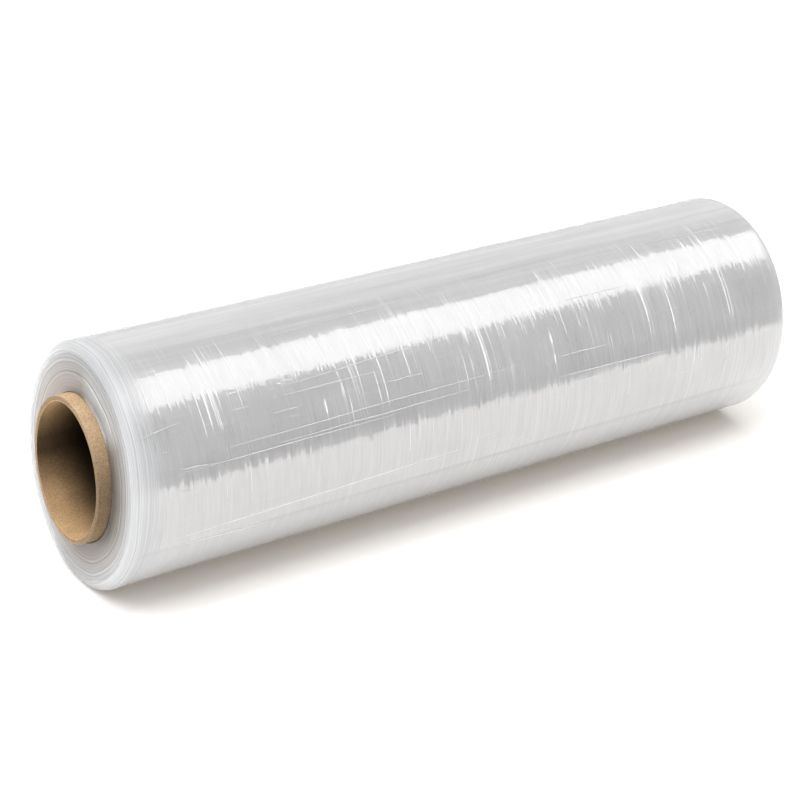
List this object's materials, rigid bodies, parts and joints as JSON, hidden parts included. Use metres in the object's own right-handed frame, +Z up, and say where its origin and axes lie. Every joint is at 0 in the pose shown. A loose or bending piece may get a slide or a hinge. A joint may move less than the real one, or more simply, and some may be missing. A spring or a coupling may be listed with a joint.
{
  "type": "stretch wrap roll",
  "caption": "Roll of clear stretch film wound on a paper core that stands proud at both ends, lying on its side on a small flat spot.",
  "frame": {"origin": "centre of the footprint at floor height, under the middle of the roll", "axes": "+X along the roll's axis towards the plain end, +Z up, and the crushed corner is at the -X end"},
  "size_m": [0.472, 0.139, 0.1383],
  "materials": {
    "kraft_board": "matt, lightly fibrous",
    "stretch_film": "clear film in many turns, glossy, fine wrinkles round the roll"
  },
  "bodies": {
    "root": {"core": "kraft_board", "film_roll": "stretch_film"}
  },
  "joints": []
}
